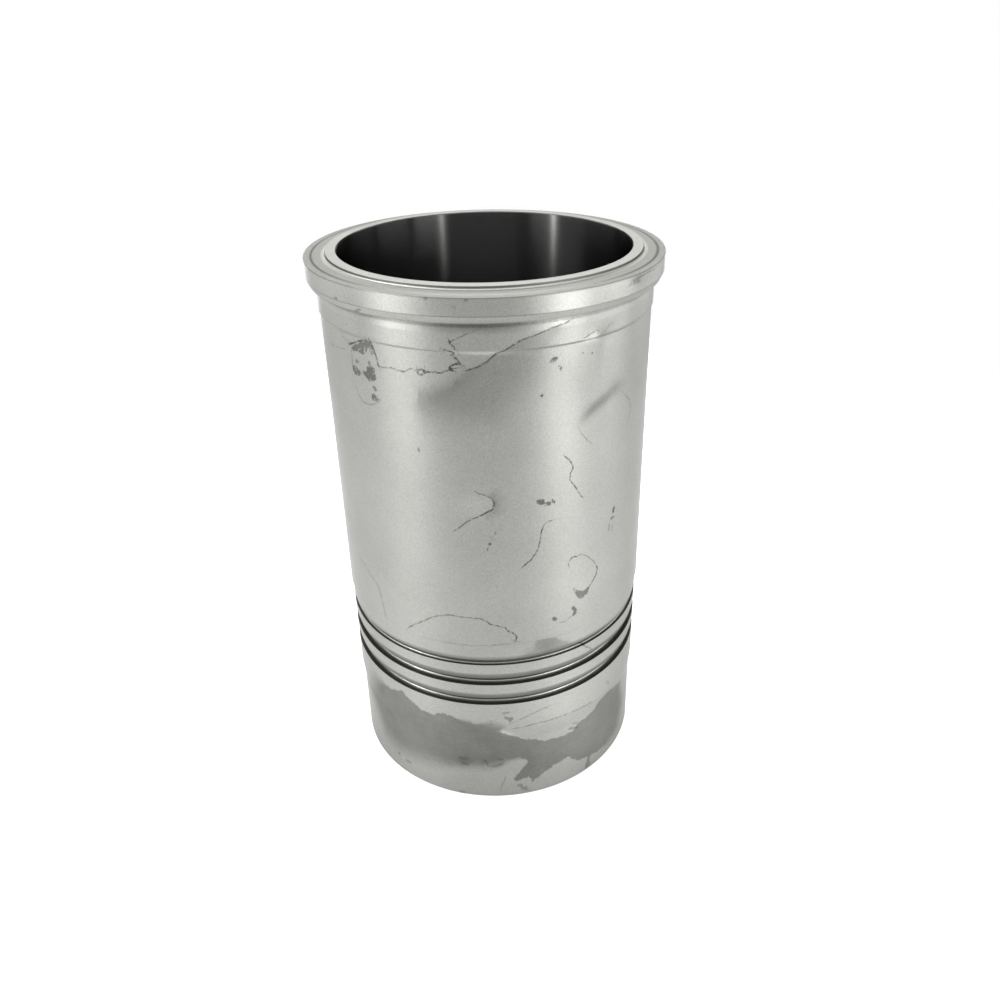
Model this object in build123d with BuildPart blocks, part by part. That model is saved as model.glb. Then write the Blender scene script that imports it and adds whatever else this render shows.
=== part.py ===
from build123d import *
import os

# Cylinder liner: one hollow iron casting, turned all over and honed inside.
# It stands on its lower end with the bore axis on +Z, and the origin is the centre of the lower face.
# All sizes are in millimetres.

# ---------------------------------------------------------------- bore and overall size
bore_diameter = 158.75
overall_height = 321.25
bore_mouth_chamfer = 0.5
bore_foot_chamfer = 1.5

# ---------------------------------------------------------------- barrel, washed by the coolant
barrel_wall = 11.7

# ---------------------------------------------------------------- fire ring, raised round the bore
fire_ring_width = 6.0
fire_ring_height = 1.9
fire_ring_edge_break = 0.25
fire_ring_foot_radius = 0.8

# ---------------------------------------------------------------- flange that hangs the liner in the block
flange_thickness = 12.95
flange_edge_break = 0.6
flange_bevel_height = 3.7
flange_bevel_width = 1.7
seat_width = 5.0
rim_width = 4.1
rim_drop = 0.25

# ---------------------------------------------------------------- upper pilot and the relief above it
pilot_step = 0.75
pilot_height = 14.1
pilot_bevel_height = 1.3
relief_height = 4.0
relief_depth = 0.35
relief_bevel_height = 0.5

# ---------------------------------------------------------------- packing land near the lower end
land_step = 0.75
land_above_grooves = 14.6
land_bevel_height = 0.7
land_below_grooves = 18.6

# ---------------------------------------------------------------- grooves round the packing land
groove_pitch = 14.6
ring_groove_count = 2
ring_groove_width = 4.3
ring_groove_depth = 3.9
ring_groove_bed_radius = 0.8
ring_groove_lip_height = 4.1
ring_groove_lip_depth = 0.9
seal_groove_width = 3.4
seal_groove_depth = 2.1
seal_groove_lip_height = 2.7
seal_groove_lip_depth = 0.5

# ---------------------------------------------------------------- skirt that leads the liner into the block
skirt_step = 1.0
skirt_height = 46.5
lead_in_height = 10.5
foot_bevel_height = 1.25
foot_bevel_width = 0.9

# ---------------------------------------------------------------- radii worked out from the sizes above
bore_radius = bore_diameter / 2
barrel_radius = bore_radius + barrel_wall
fire_ring_radius = bore_radius + fire_ring_width
pilot_radius = barrel_radius + pilot_step
relief_radius = pilot_radius - relief_depth
flange_radius = pilot_radius + seat_width
rim_radius = flange_radius - rim_width
land_radius = barrel_radius - land_step
skirt_radius = land_radius - skirt_step

# ---------------------------------------------------------------- heights above the lower face
flange_top = overall_height - fire_ring_height
rim_top = flange_top - rim_drop
seat_level = flange_top - flange_thickness
relief_foot = seat_level - relief_height
pilot_foot = seat_level - pilot_height
lead_in_top = skirt_height + lead_in_height
lowest_groove = lead_in_top + land_below_grooves
seal_groove = lowest_groove + ring_groove_count * groove_pitch
land_top = seal_groove + land_above_grooves

# Each groove: height of its lower edge, width, depth, and the height and depth of its eased lip.
ring_grooves = [
    (
        lowest_groove + number * groove_pitch,
        ring_groove_width,
        ring_groove_depth,
        ring_groove_lip_height,
        ring_groove_lip_depth,
    )
    for number in range(ring_groove_count)
]
top_groove = (
    seal_groove,
    seal_groove_width,
    seal_groove_depth,
    seal_groove_lip_height,
    seal_groove_lip_depth,
)

with BuildPart() as cylinder_liner:
    # The half section, from the lower end up the outside, over the fire ring and down the bore.
    with BuildSketch(Plane.XZ) as half_section:
        with BuildLine():
            Polyline(
                (bore_radius + bore_foot_chamfer, 0),
                (skirt_radius - foot_bevel_width, 0),
                (skirt_radius, foot_bevel_height),
                (skirt_radius, skirt_height),
                (land_radius, lead_in_top),
                (land_radius, land_top - land_bevel_height),
                (barrel_radius, land_top),
                (barrel_radius, pilot_foot - pilot_bevel_height),
                (pilot_radius, pilot_foot),
                (pilot_radius, relief_foot - relief_bevel_height),
                (relief_radius, relief_foot),
                (relief_radius, seat_level),
                (flange_radius - flange_bevel_width, seat_level),
                (flange_radius, seat_level + flange_bevel_height),
                (flange_radius, rim_top - flange_edge_break),
                (flange_radius - flange_edge_break, rim_top),
                (rim_radius, rim_top),
                (rim_radius, flange_top),
                (fire_ring_radius, flange_top),
                (fire_ring_radius, overall_height - fire_ring_edge_break),
                (fire_ring_radius - fire_ring_edge_break, overall_height),
                (bore_radius + bore_mouth_chamfer, overall_height),
                (bore_radius, overall_height - bore_mouth_chamfer),
                (bore_radius, bore_foot_chamfer),
                close=True,
            )
        make_face()
        fire_ring_foot = half_section.vertices().sort_by_distance((fire_ring_radius, 0, flange_top))[0]
        fillet(fire_ring_foot, radius=fire_ring_foot_radius)
    revolve(axis=Axis.Z)

    # Above each groove a long bevel eases the lip, so that the ring slides in. Coolant pressure pushes
    # a packing ring down, so it beds in a rounded corner. The top seal is square, and so is its groove.
    for groove in ring_grooves + [top_groove]:
        lower_edge, width, depth, lip_height, lip_depth = groove
        lip_level = lower_edge + width
        floor_radius = land_radius - depth
        with BuildSketch(Plane.XZ) as groove_section:
            with BuildLine():
                Polyline(
                    (floor_radius, lower_edge),
                    (barrel_radius, lower_edge),
                    (barrel_radius, lip_level + lip_height),
                    (land_radius, lip_level + lip_height),
                    (land_radius - lip_depth, lip_level),
                    (floor_radius, lip_level),
                    close=True,
                )
            make_face()
            if groove in ring_grooves:
                bed_corner = groove_section.vertices().sort_by_distance((floor_radius, 0, lower_edge))[0]
                fillet(bed_corner, radius=ring_groove_bed_radius)
        revolve(axis=Axis.Z, mode=Mode.SUBTRACT)

cylinder_liner.part.label = "cylinder_liner"

os.makedirs("parts", exist_ok=True)
export_step(cylinder_liner.part, "parts/cylinder_liner.step")

box = cylinder_liner.part.bounding_box()
print("cylinder_liner", "valid" if cylinder_liner.part.is_valid else "broken", box.size)
print("volume", round(cylinder_liner.part.volume / 1000, 1), "cubic centimetres")
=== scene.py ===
import bpy
import math
import numpy as np
from mathutils import Matrix


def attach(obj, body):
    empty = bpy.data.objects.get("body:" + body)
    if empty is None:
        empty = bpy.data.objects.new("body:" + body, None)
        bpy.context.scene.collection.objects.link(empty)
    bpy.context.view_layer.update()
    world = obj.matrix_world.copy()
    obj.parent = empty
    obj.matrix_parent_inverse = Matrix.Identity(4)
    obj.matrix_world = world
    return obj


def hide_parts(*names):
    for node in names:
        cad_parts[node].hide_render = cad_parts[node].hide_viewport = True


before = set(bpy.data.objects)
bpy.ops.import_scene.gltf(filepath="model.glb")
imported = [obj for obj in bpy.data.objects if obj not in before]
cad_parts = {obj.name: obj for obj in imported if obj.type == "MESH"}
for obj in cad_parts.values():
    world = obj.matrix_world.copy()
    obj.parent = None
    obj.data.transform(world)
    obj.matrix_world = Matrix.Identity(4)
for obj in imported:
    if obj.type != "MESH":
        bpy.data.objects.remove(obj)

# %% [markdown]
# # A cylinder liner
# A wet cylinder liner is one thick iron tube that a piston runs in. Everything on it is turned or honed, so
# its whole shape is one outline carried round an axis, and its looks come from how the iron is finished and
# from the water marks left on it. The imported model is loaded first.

MM = 0.001
scene = bpy.context.scene
link = scene.collection.objects.link
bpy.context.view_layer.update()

# %% [markdown]
# ## The camera
# The camera stands a little above the liner's mouth and looks down at it. Its place could be set with
# Blender's Track To constraint, but a level camera that is aimed at a point can't also roll. Here the
# three directions of the camera are worked out from pan, dip and roll, and they are the columns of its
# matrix.

# %% Camera
CAMERA_DISTANCE = 489.04
CAMERA_HEIGHT = 435.6
CAMERA_DIP = 28.12
CAMERA_PAN = 1.97
CAMERA_ROLL = -0.771
FOCAL_LENGTH_IN_WIDTHS = 0.897552
CENTRE_SHIFT = (-0.0192, -0.01894)
SENSOR_WIDTH = 36


def camera_axes(pan, dip, roll):
    """Right, up and forward: forward is turned by the pan and tipped by the dip.

    The other two stand square to it and roll about it.
    """
    forward = np.array([math.sin(pan) * math.cos(dip), math.cos(pan) * math.cos(dip), -math.sin(dip)])
    right = np.array([math.cos(pan), -math.sin(pan), 0.0])
    up = np.cross(right, forward)
    rolled_right = math.cos(roll) * right + math.sin(roll) * up
    rolled_up = math.cos(roll) * up - math.sin(roll) * right
    return rolled_right, rolled_up, forward


camera_place = np.array([0.0, -CAMERA_DISTANCE, CAMERA_HEIGHT])
right, up, forward = camera_axes(*(math.radians(a) for a in (CAMERA_PAN, CAMERA_DIP, CAMERA_ROLL)))
camera_data = bpy.data.cameras.new("camera")
camera_data.sensor_width = SENSOR_WIDTH
camera_data.lens = FOCAL_LENGTH_IN_WIDTHS * SENSOR_WIDTH
camera_data.shift_x, camera_data.shift_y = CENTRE_SHIFT
camera_data.clip_start = 0.01
camera = bpy.data.objects.new("camera", camera_data)
turn = Matrix(np.column_stack([right, up, -forward]).tolist()).to_4x4()
camera.matrix_world = Matrix.Translation(camera_place * MM) @ turn
link(camera)
scene.camera = camera
print("camera lens", round(camera_data.lens, 3), "mm")

# %% [markdown]
# ## The outline
# The liner's half section has a fire ring round the bore, a flange with a bevelled foot, an upper pilot, a
# long barrel, a packing land with three grooves, and a skirt. It could be drawn as a curve and spun with the
# Screw modifier. Here it is a list of corners, because a turned part is dimensioned that way, and a corner
# can then be changed by one number.

# %% Sizes, in millimetres
BORE_RADIUS = 79.375
OVERALL_HEIGHT = 321.25
BARREL_RADIUS = 91.075
FIRE_RING_RADIUS = 85.375
FLANGE_RADIUS = 96.825
RIM_RADIUS = 92.725
PILOT_RADIUS = 91.825
RELIEF_RADIUS = 91.475
LAND_RADIUS = 90.325
SKIRT_RADIUS = 89.325

FLANGE_TOP = 319.35
RIM_TOP = 319.1
SEAT_LEVEL = 306.4
RELIEF_FOOT = 302.4
PILOT_FOOT = 292.3
LAND_TOP = 119.4
LEAD_IN_TOP = 57.0
SKIRT_HEIGHT = 46.5

BORE_MOUTH_CHAMFER = 0.5
BORE_FOOT_CHAMFER = 1.5
FOOT_BEVEL_WIDTH = 0.9
FOOT_BEVEL_HEIGHT = 1.25
LAND_BEVEL_FOOT = LAND_TOP - 0.7
PILOT_BEVEL_FOOT = PILOT_FOOT - 1.3
FLANGE_BEVEL_WIDTH = 1.7
FLANGE_BEVEL_TOP = SEAT_LEVEL + 3.7
RIM_EDGE_BREAK = 0.2
RIM_SLOPE = 1.2
RIM_LINE = 0.12
RING_EDGE_BREAK = 0.25

# Lower edge, width, depth, height and depth of the eased lip, radius of the bed corner.
GROOVES = (
    (75.6, 4.3, 3.9, 4.1, 0.9, 0.8),
    (90.2, 4.3, 3.9, 4.1, 0.9, 0.8),
    (104.8, 3.4, 2.1, 2.7, 0.5, 0.5),
)

# How round an edge is: its radius.
CRISP = 0.1
EASED = 0.3
GENTLE = 1.0
SWEEPING = 8.0


def groove_corners(lower_edge, width, depth, lip_height, lip_depth, bed_radius):
    """The five corners of one groove, going up: ledge, bed, roof, eased lip and the land above it.

    Every corner is a radius from the axis, a height, the radius of its edge and the edge's points.
    """
    lip_level = lower_edge + width
    return [
        (LAND_RADIUS, lower_edge, CRISP, 3),
        (LAND_RADIUS - depth, lower_edge, bed_radius, 7),
        (LAND_RADIUS - depth, lip_level, bed_radius, 4),
        (LAND_RADIUS - lip_depth, lip_level, CRISP, 3),
        (LAND_RADIUS, lip_level + lip_height, EASED, 3),
    ]


skirt_corners = [
    (BORE_RADIUS + BORE_FOOT_CHAMFER, 0, EASED, 3),
    (SKIRT_RADIUS - FOOT_BEVEL_WIDTH, 0, EASED, 3),
    (SKIRT_RADIUS, FOOT_BEVEL_HEIGHT, EASED, 3),
    (SKIRT_RADIUS, SKIRT_HEIGHT, GENTLE, 3),
    (LAND_RADIUS, LEAD_IN_TOP, GENTLE, 3),
]
barrel_corners = [
    (LAND_RADIUS, LAND_BEVEL_FOOT, CRISP, 3),
    (BARREL_RADIUS, LAND_TOP, EASED, 3),
    (BARREL_RADIUS, PILOT_BEVEL_FOOT, CRISP, 3),
    (PILOT_RADIUS, PILOT_FOOT, EASED, 3),
    (PILOT_RADIUS, RELIEF_FOOT - 1.8, SWEEPING, 5),
    (RELIEF_RADIUS, RELIEF_FOOT + 2.0, SWEEPING, 5),
    (RELIEF_RADIUS, SEAT_LEVEL, 0.5, 4),
]
flange_corners = [
    (FLANGE_RADIUS - FLANGE_BEVEL_WIDTH, SEAT_LEVEL, EASED, 3),
    (FLANGE_RADIUS, FLANGE_BEVEL_TOP, EASED, 3),
    (FLANGE_RADIUS, RIM_TOP - RIM_EDGE_BREAK, CRISP, 3),
    (FLANGE_RADIUS - RIM_EDGE_BREAK, RIM_TOP, CRISP, 3),
    (RIM_RADIUS + RIM_SLOPE, RIM_TOP, 2.0, 3),
    (RIM_RADIUS + RIM_LINE, RIM_TOP + 0.10, 0.2, 3),
    (RIM_RADIUS - RIM_LINE, RIM_TOP + 0.16, 0.2, 3),
    (RIM_RADIUS - RIM_SLOPE, FLANGE_TOP, 2.0, 3),
]
mouth_corners = [
    (FIRE_RING_RADIUS, FLANGE_TOP, 0.8, 7),
    (FIRE_RING_RADIUS, OVERALL_HEIGHT - RING_EDGE_BREAK, CRISP, 3),
    (FIRE_RING_RADIUS - RING_EDGE_BREAK, OVERALL_HEIGHT, CRISP, 3),
    (BORE_RADIUS + BORE_MOUTH_CHAMFER, OVERALL_HEIGHT, CRISP, 3),
    (BORE_RADIUS, OVERALL_HEIGHT - BORE_MOUTH_CHAMFER, CRISP, 3),
    (BORE_RADIUS, BORE_FOOT_CHAMFER, EASED, 3),
]
land_corners = [corner for groove in GROOVES for corner in groove_corners(*groove)]
corners = np.array(skirt_corners + land_corners + barrel_corners + flange_corners + mouth_corners)
print(len(corners), "corners in the half section")

# %% [markdown]
# ## Rounding the corners
# A Bevel modifier would round the edges after the spin, but it gives every edge the same number of faces and
# leaves the shading of the long walls to chance. Here each corner is swapped for an arc that touches both of
# its sides, and the arc carries its exact surface directions, so that a flat wall shades flat right up to
# its edge.

# %% Arcs at the corners, and distances along the outline between its rows
ROW_SPACING = 1.4
BORE_ROWS_APART = 12 * ROW_SPACING
PLAIN_MOUTH = 20
LEAST_GAP = 0.4 * ROW_SPACING


def unit(v):
    """Each row divided by its own length."""
    return v / np.linalg.norm(v, axis=1, keepdims=True)


def rounded(corners):
    """Points and outward directions of a closed outline with its corners rounded.

    Where two sides meet at an angle, the arc starts at radius / tan(half the angle) from the corner. Its
    outward direction turns evenly from that of one side to that of the other, which a weighted sum of the
    two gives, with weights sin((1 - t) * turn) and sin(t * turn) over sin(turn).
    """
    place, radius, count = corners[:, :2], corners[:, 2:3], corners[:, 3].astype(int)
    back = unit(np.roll(place, 1, 0) - place)
    ahead = unit(np.roll(place, -1, 0) - place)
    half = 0.5 * np.arccos(np.sum(back * ahead, axis=1, keepdims=True))
    bulge = np.sign(back[:, 1:] * ahead[:, :1] - back[:, :1] * ahead[:, 1:])
    first = np.column_stack([-back[:, 1], back[:, 0]])
    last = np.column_stack([ahead[:, 1], -ahead[:, 0]])
    centre = place + back * radius / np.tan(half) - bulge * radius * first
    which = np.repeat(np.arange(len(corners)), count)
    t = (np.arange(len(which)) - np.repeat(np.cumsum(count) - count, count)) / (count[which] - 1)
    bend = np.pi - 2 * half[which]
    t = t[:, None]
    out = (np.sin((1 - t) * bend) * first[which] + np.sin(t * bend) * last[which]) / np.sin(bend)
    return centre[which] + (bulge * radius)[which] * out, out


def with_rows(points, out):
    """The same outline with more rows on its long runs: close outside, and far apart down the plain bore."""
    points, out = np.vstack([points, points[:1]]), np.vstack([out, out[:1]])
    along = np.concatenate([[0], np.cumsum(np.linalg.norm(np.diff(points, axis=0), axis=1))])
    top = along[np.argmax(points[:, 1])]
    outside = np.arange(ROW_SPACING, top, ROW_SPACING)
    inside = np.arange(top + PLAIN_MOUTH, along[-1], BORE_ROWS_APART)
    extra = np.concatenate([outside, inside])
    near = np.abs(extra[:, None] - along[None, :]).min(axis=1)
    stops = np.union1d(along[:-1], extra[near > LEAST_GAP])
    columns = [np.interp(stops, along, column) for column in (*points.T, *out.T)]
    return np.column_stack(columns[:2]), unit(np.column_stack(columns[2:]))


outline, outline_out = with_rows(*rounded(corners))
print(len(outline), "rows in the outline")

# %% [markdown]
# ## The turned surface
# The outline is carried round the axis. Spin or the Screw modifier would do it with even steps. The water
# marks are all on one side of this liner and are stored on the mesh's points, so here the steps are fine on
# that side and coarse on the other.

# %% Carry the outline round the axis
FRONT_HALF_ANGLE = 78
COLUMN_SPACING = 1.4
COARSE_COLUMN_SPACING = 4.5


def round_angles():
    """Angles round the axis from the front, fine within the front half angle and coarse behind it."""
    front = math.radians(FRONT_HALF_ANGLE)
    fine = int(2 * front * BARREL_RADIUS / COLUMN_SPACING)
    coarse = int((2 * math.pi - 2 * front) * BARREL_RADIUS / COARSE_COLUMN_SPACING)
    fine_angles = np.linspace(-front, front, fine, endpoint=False)
    coarse_angles = np.linspace(front, 2 * math.pi - front, coarse, endpoint=False)
    return np.concatenate([fine_angles, coarse_angles])


def turned(points, out, angles):
    """Grid of places and directions: radius r at angle a stands at (r sin a, -r cos a, height)."""
    sweep = np.column_stack([np.sin(angles), -np.cos(angles)])

    def carry(section):
        flat = section[:, None, :1] * sweep[None, :, :]
        rise = np.broadcast_to(section[:, None, 1:], flat.shape[:2] + (1,))
        return np.concatenate([flat, rise], axis=2)

    return carry(points), carry(out)


def grid_mesh(name, places, directions):
    """A mesh on a closed grid: four neighbours make a face, and the grid closes on itself both ways."""
    rows, columns = places.shape[:2]
    point = np.arange(rows * columns).reshape(rows, columns)
    above = np.roll(point, -1, 0)
    faces = np.stack([point, np.roll(point, -1, 1), np.roll(above, -1, 1), above], axis=2).reshape(-1, 4)
    mesh = bpy.data.meshes.new(name)
    mesh.vertices.add(point.size)
    mesh.vertices.foreach_set("co", places.astype(np.float32).ravel())
    mesh.loops.add(faces.size)
    mesh.loops.foreach_set("vertex_index", faces.astype(np.int32).ravel())
    mesh.polygons.add(len(faces))
    mesh.polygons.foreach_set("loop_start", np.arange(0, faces.size, 4, dtype=np.int32))
    mesh.update(calc_edges=True)
    mesh.shade_smooth()
    mesh.normals_split_custom_set_from_vertices(directions.reshape(-1, 3).tolist())
    return mesh


angles = round_angles()
places, directions = turned(outline * MM, outline_out, angles)
liner_mesh = grid_mesh("liner", places, directions)
liner = bpy.data.objects.new("liner", liner_mesh)
link(liner)
print("liner", len(liner_mesh.polygons) * 2, "triangles")

# %% [markdown]
# ## From the camera's frame to the wall
# The water marks were laid out through the camera, as a sign painter would with a projector. Each mark is
# a row of frame points, in thousandths of the frame's width from its upper left corner. They could be put on
# the wall with Blender's ray casting, but the wall is a plain turned shape, so the place where a ray meets
# it has a formula, and whole rows of points go through it at once.

# %% Frame points to the wall
FRAME_WIDTH = 1000
HALF_A_POINT = 0.5
CENTRE_ACROSS = FRAME_WIDTH / 2 - FRAME_WIDTH * CENTRE_SHIFT[0] - HALF_A_POINT
CENTRE_DOWN = FRAME_WIDTH / 2 + FRAME_WIDTH * CENTRE_SHIFT[1] - HALF_A_POINT
FOCAL = FRAME_WIDTH * FOCAL_LENGTH_IN_WIDTHS
ROOT_PASSES = 5

# A place on the wall is its height and how far round it lies, in millimetres at this radius.
WALL = 91.0

# Height and radius of the wall, from the foot up.
THIN_STEP = 0.1
WALL_STEPS = np.array([
    (0, SKIRT_RADIUS),
    (SKIRT_HEIGHT, SKIRT_RADIUS),
    (LEAD_IN_TOP, LAND_RADIUS),
    (LAND_TOP, LAND_RADIUS),
    (LAND_TOP + THIN_STEP, BARREL_RADIUS),
    (PILOT_BEVEL_FOOT, BARREL_RADIUS),
    (PILOT_FOOT, PILOT_RADIUS),
    (SEAT_LEVEL, PILOT_RADIUS),
    (SEAT_LEVEL + THIN_STEP, FLANGE_RADIUS - FLANGE_BEVEL_WIDTH),
    (FLANGE_BEVEL_TOP, FLANGE_RADIUS),
])


def on_wall(frame_points):
    """Millimetres round the wall and height of points of the camera's frame.

    A ray leaves the camera along forward + right * across / focal - up * down / focal. It meets the wall
    where its distance from the axis equals the wall's radius, which is the nearer root of a quadratic. The
    radius depends on the height, so the root is worked out a few times over.
    """
    across, down = np.array(frame_points, float).T
    sideways, downward = (across - CENTRE_ACROSS) / FOCAL, (down - CENTRE_DOWN) / FOCAL
    ray = forward + np.outer(sideways, right) - np.outer(downward, up)
    square, cross = np.sum(ray[:, :2] ** 2, axis=1), ray[:, :2] @ camera_place[:2]
    radius = np.full(len(ray), BARREL_RADIUS)
    for _ in range(ROOT_PASSES):
        rest = camera_place[:2] @ camera_place[:2] - radius**2
        reach = (-cross - np.sqrt(np.maximum(cross**2 - square * rest, 0))) / square
        spot = camera_place + reach[:, None] * ray
        radius = np.interp(spot[:, 2], *WALL_STEPS.T)
    return np.column_stack([np.arctan2(spot[:, 0], -spot[:, 1]) * WALL, spot[:, 2]])


print("frame centre meets the wall at", on_wall([(500, 500)]).round(1))

# %% [markdown]
# ## The marks
# Where water dried, each drop and trickle left a thin ragged line round the place that stayed wet. Others are
# dark spots of rust, and dull patches with one sharp side. Every stroke has half a width in millimetres and
# a strength. Every patch has a strength, and some of its points also say how soft the side that starts
# there is.

# %% Drying lines: half width, strength, frame points
DRYING_LINES = (
    # round the scuffed oval
    (0.5, 0.8, [(349, 344), (354, 342), (360, 340), (366, 339.5)]),
    (0.5, 0.75, [(369, 340), (373, 349), (376, 356), (378, 366)]),
    (0.45, 0.35, [(359, 395), (362, 401), (368, 404), (376, 403), (380, 398)]),
    (0.45, 0.4, [(351, 350), (352, 365)]),
    # across the barrel from the oval, below the pilot
    (0.45, 0.6, [(379, 366), (385, 367.5), (391, 367), (396, 369.5), (404, 371), (410, 368), (416, 370)]),
    (0.45, 0.7, [(416, 370), (418, 374), (422, 374.5), (424.5, 371), (421, 368), (417, 369.5)]),
    (0.45, 0.75, [(424, 370), (427, 372), (434, 372), (441, 372.5), (446, 370.5), (449, 369), (452, 370.5)]),
    (0.45, 0.8, [(449, 367), (453, 364), (460, 363.5)]),
    (0.5, 0.85, [(460, 363), (456, 359), (452, 356), (449, 354), (455, 354), (451, 351), (443, 350)]),
    (0.5, 0.75, [(449, 341), (450, 344), (452, 346)]),
    (0.4, 0.3, [(427, 349.5), (436, 350.8), (443, 350.3)]),
    (0.4, 0.4, [(452, 340), (458, 337), (465, 334), (475, 330)]),
    # the long slanting line, from the flange down to the left
    (0.45, 0.58, [(571, 319), (564, 323), (556, 326), (545, 330), (534, 335), (520, 340), (512, 345)]),
    (0.5, 0.66, [(512, 345), (504, 350), (496, 353), (490, 358), (483, 364), (475, 367), (467, 370)]),
    (0.4, 0.55, [(584, 337.5), (589, 334), (594, 331)]),
    (0.8, 0.15, [(612, 322), (606, 328), (600, 334)]),
    (0.4, 0.4, [(598, 330.5), (598.5, 336.5)]),
    # on the flange
    (0.5, 0.8, [(308, 268), (311, 270), (315, 272)]),
    (0.5, 0.45, [(633, 280), (640, 276), (649, 271), (656, 267)]),
    (0.5, 0.35, [(629, 285), (634, 283), (641, 279)]),
    # faint ones left of the oval
    (0.4, 0.24, [(341, 333), (343, 337), (347, 340), (351, 342)]),
    (0.45, 0.26, [(330, 342.5), (336, 346), (345, 349)]),
    (0.45, 0.22, [(353, 377), (355, 385), (358, 394)]),
    # the loops at the right
    (0.45, 0.36, [(579, 429), (581.5, 434), (585, 438), (590, 442)]),
    (0.5, 0.35, [(623, 392), (629, 399), (630, 408), (627, 420)]),
    # down the right of the middle
    (0.45, 0.75, [(565, 456), (571, 462), (573, 467), (570, 473), (569, 479), (575, 487), (581, 496)]),
    (0.45, 0.55, [(476, 492), (484, 495), (491, 498), (494, 503)]),
    (0.5, 0.74, [(494, 503), (492, 509), (487, 512), (478, 516), (467, 521)]),
    (0.45, 0.6, [(467, 521), (459, 527), (455, 530)]),
    (0.45, 0.5, [(552, 520), (548, 521), (544, 524), (542, 528)]),
    (0.45, 0.75, [(542, 528), (540, 534), (540, 540), (537, 550), (531, 559), (522, 567)]),
    # the ring at the lower right
    (0.45, 0.6, [(568, 565), (568, 561), (571, 557)]),
    (0.5, 0.85, [(571, 557), (575, 555.5), (577, 556)]),
    (0.4, 0.5, [(577, 555), (581, 554), (587, 556), (592, 560)]),
    (0.45, 0.8, [(592, 560), (595, 563), (597, 567), (596, 571), (595, 575), (590, 584), (587, 588)]),
    # the arch above the grooves
    (0.5, 0.52, [(408, 627), (414, 623.5), (422, 621), (430, 617), (438, 615), (449, 614.5)]),
    (0.45, 0.52, [(449, 614.5), (458, 616), (465, 617), (480, 618), (487, 621)]),
    (0.45, 0.75, [(487, 621), (489, 624), (495, 625), (500, 626), (505, 627), (506, 629), (509, 631)]),
    (0.5, 0.75, [(509, 631), (514, 633), (516.5, 636), (515, 640)]),
    (0.4, 0.45, [(560, 622), (563, 621.5), (566, 620), (570, 616), (575, 613)]),
    (0.6, 0.65, [(582, 644), (587, 646.5), (590, 648)]),
    (0.7, 0.28, [(360, 558), (366, 566), (370, 574), (377, 584), (380, 592), (382, 600), (385, 615)]),
    (0.6, 0.18, [(445, 641), (460, 644), (480, 645), (500, 644), (520, 641)]),
    # on the skirt
    (0.6, 0.28, [(508, 724), (520, 718.5), (530, 714), (540, 709.5), (550, 705)]),
    (0.6, 0.4, [(515, 728), (528, 725), (540, 722), (560, 716), (575, 710), (590, 702)]),
    (0.6, 0.28, [(505, 777), (502, 783), (500, 790)]),
)

# Small spots are short, broad strokes.
SPECKS = (
    (0.7, 0.45, [(334.5, 297), (336, 298)]),
    (0.7, 0.45, [(359.3, 308.8), (360.2, 309.6)]),
    (0.7, 0.4, [(424, 297.5), (426, 298)]),
    (0.7, 0.32, [(464.5, 300), (466, 300.2)]),
    (0.7, 0.32, [(452, 307), (455, 307.3)]),
    (0.7, 0.45, [(312, 282), (313, 284)]),
    (0.9, 0.75, [(553, 359), (556, 358)]),
    (0.7, 0.4, [(550, 361), (552, 362)]),
    (0.7, 0.6, [(559, 365), (561, 369)]),
    (0.7, 0.65, [(582, 352.8), (582.4, 353)]),
    (0.7, 0.65, [(591.2, 352.3), (591.6, 352.6)]),
    (0.8, 0.75, [(540.8, 395), (541.3, 395.4)]),
    (0.7, 0.5, [(417.5, 448), (418.5, 450)]),
    (1.0, 0.75, [(613.2, 507.5), (612.6, 511)]),
    (0.8, 0.65, [(610.7, 518), (613, 516.5)]),
    (0.7, 0.4, [(608.8, 524), (608.3, 529)]),
    (0.7, 0.28, [(612, 524), (611.5, 529)]),
    (0.7, 0.7, [(495.2, 532.6), (495.5, 533.2)]),
    (0.7, 0.55, [(490.4, 536.5), (490.8, 538)]),
    (0.8, 0.7, [(489.5, 543), (489.9, 544)]),
    (0.7, 0.6, [(486.9, 548.8), (487.3, 549.4)]),
    (0.8, 0.75, [(552, 500), (554, 502)]),
    (1.2, 0.75, [(553.5, 618), (555, 618.5)]),
    (1.0, 0.7, [(572.5, 607), (575, 610)]),
    (1.0, 0.6, [(575, 611), (573, 614)]),
    (0.8, 0.36, [(503, 713), (508, 712)]),
    (1.0, 0.46, [(505, 717), (511, 719)]),
    (0.7, 0.42, [(509, 721), (512, 717)]),
    (0.9, 0.38, [(569, 728), (577, 727)]),
    (0.7, 0.34, [(572, 723), (577, 722)]),
    (1.1, 0.5, [(588, 757), (587, 762), (585.5, 767)]),
    (0.9, 0.35, [(588.5, 760), (589, 765)]),
    (0.9, 0.25, [(485, 760), (487.5, 765)]),
    (0.9, 0.25, [(491, 766), (497, 765.5), (502, 763)]),
    (0.8, 0.2, [(497, 758), (503, 759.5)]),
    (1.0, 0.22, [(459, 757), (466, 758)]),
    (1.0, 0.25, [(462, 762.5), (468, 764)]),
    (0.8, 0.4, [(606, 681), (608, 683)]),
    (0.8, 0.36, [(517, 785), (521, 783.5)]),
    (0.8, 0.38, [(520, 784.5), (522, 788)]),
    (0.8, 0.38, [(524, 787.5), (527.5, 789.5)]),
    (0.8, 0.28, [(526, 786), (523.5, 789)]),
    (0.8, 0.5, [(398.5, 752), (399.5, 755)]),
    (1.0, 0.32, [(406, 760), (410, 762)]),
    (1.0, 0.5, [(460, 790.5), (464, 791.5)]),
)
print(len(DRYING_LINES) + len(SPECKS), "drying lines and specks")

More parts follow.
